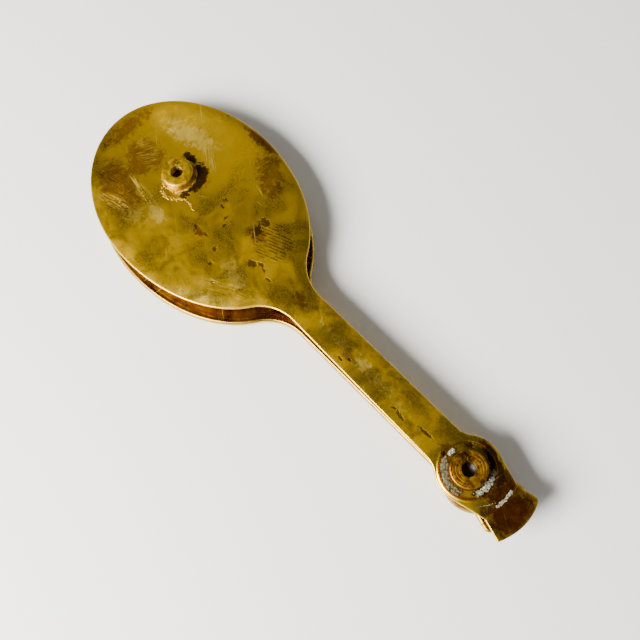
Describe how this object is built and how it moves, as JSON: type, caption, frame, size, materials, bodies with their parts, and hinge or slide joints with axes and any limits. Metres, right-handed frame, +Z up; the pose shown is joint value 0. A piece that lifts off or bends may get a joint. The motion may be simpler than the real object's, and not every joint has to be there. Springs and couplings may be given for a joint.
{
  "type": "pair of door pulls",
  "caption": "Pair of aged cast brass oval paddle door pulls, stacked front to front, each with tapped mounting bosses soldered on its back.",
  "frame": {"origin": "centre of the lower pull's plate boss, at the mouth of its tapped hole, where it rests on the table", "axes": "+X along the pulls towards the head and the tail, +Z up, out of the upper pull's tapped holes"},
  "size_m": [0.3095, 0.1057, 0.0223],
  "materials": {
    "cast_brass": "aged, rubbed, scratched and pitted",
    "turned_brass": "turned, dull",
    "tarnished_brass": "heat tarnished",
    "braze": "rough",
    "solder": "dull grey-white soft solder"
  },
  "bodies": {
    "lower_pull": {"lower_casting": "cast_brass", "lower_plate_boss": "turned_brass", "lower_head_boss": "turned_brass", "lower_tail": "tarnished_brass", "lower_plate_braze": "braze", "lower_head_solder": "solder", "lower_tail_solder": "solder"},
    "upper_pull": {"upper_casting": "cast_brass", "upper_plate_boss": "turned_brass", "upper_head_boss": "turned_brass", "upper_tail": "tarnished_brass", "upper_plate_braze": "braze", "upper_head_solder": "solder", "upper_tail_solder": "solder"}
  },
  "joints": [
    {"name": "upper_lift", "type": "slide", "parent": "lower_pull", "child": "upper_pull", "axis": [0, 0, 1], "range_m": [0, 0.08]}
  ]
}
